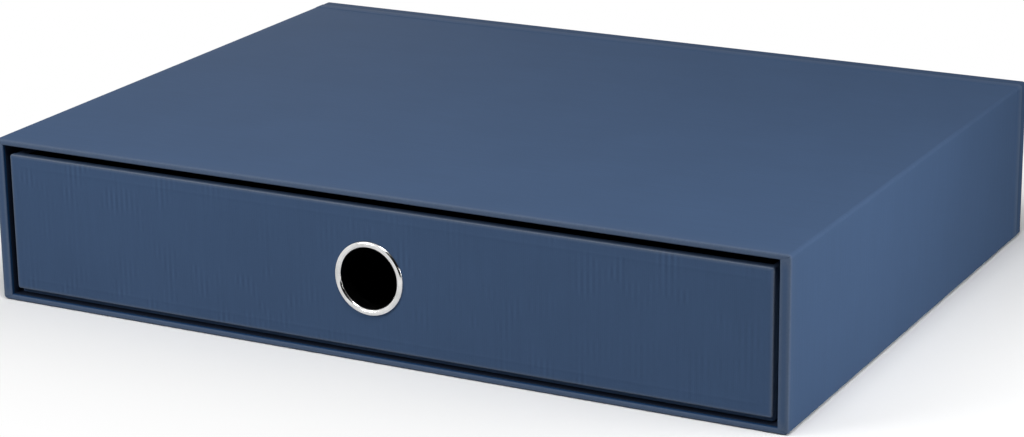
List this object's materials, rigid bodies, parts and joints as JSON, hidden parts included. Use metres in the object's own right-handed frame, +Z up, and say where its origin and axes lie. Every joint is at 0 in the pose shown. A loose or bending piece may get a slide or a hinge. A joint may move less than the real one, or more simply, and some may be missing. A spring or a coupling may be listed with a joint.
{
  "type": "file box with drawer",
  "caption": "Low paper-covered board box for flat sheets, open at the front, with one full-width pull-out drawer and a round metal eyelet in the middle as its finger pull.",
  "frame": {"origin": "centre of the underside of the case, on the surface that the box stands on", "axes": "+X to the right as seen from the front, +Y from the front with the drawer to the back, +Z up"},
  "size_m": [0.335, 0.252, 0.066],
  "materials": {
    "cover_paper": "matte",
    "lining_paper": "matte",
    "greyboard": "matte",
    "gummed_tape": "matte",
    "eyelet_metal": "polished"
  },
  "bodies": {
    "case": {"case_top_board": "greyboard", "case_bottom_board": "greyboard", "case_left_board": "greyboard", "case_right_board": "greyboard", "case_back_board": "greyboard", "case_corner_tapes": "gummed_tape", "case_wrap_paper": "cover_paper", "case_back_paper": "cover_paper", "case_base_paper": "cover_paper", "case_lining": "lining_paper"},
    "drawer": {"tray_front_board": "greyboard", "tray_back_board": "greyboard", "tray_left_board": "greyboard", "tray_right_board": "greyboard", "tray_bottom_board": "greyboard", "tray_corner_tapes": "gummed_tape", "tray_wrap_paper": "cover_paper", "tray_base_paper": "cover_paper", "tray_lining": "lining_paper", "front_panel_board": "greyboard", "front_panel_paper": "cover_paper", "eyelet": "eyelet_metal", "eyelet_washer": "eyelet_metal"}
  },
  "joints": [
    {"name": "drawer_slide", "type": "slide", "parent": "case", "child": "drawer", "axis": [0, -1, 0], "range_m": [0, 0.252]}
  ]
}
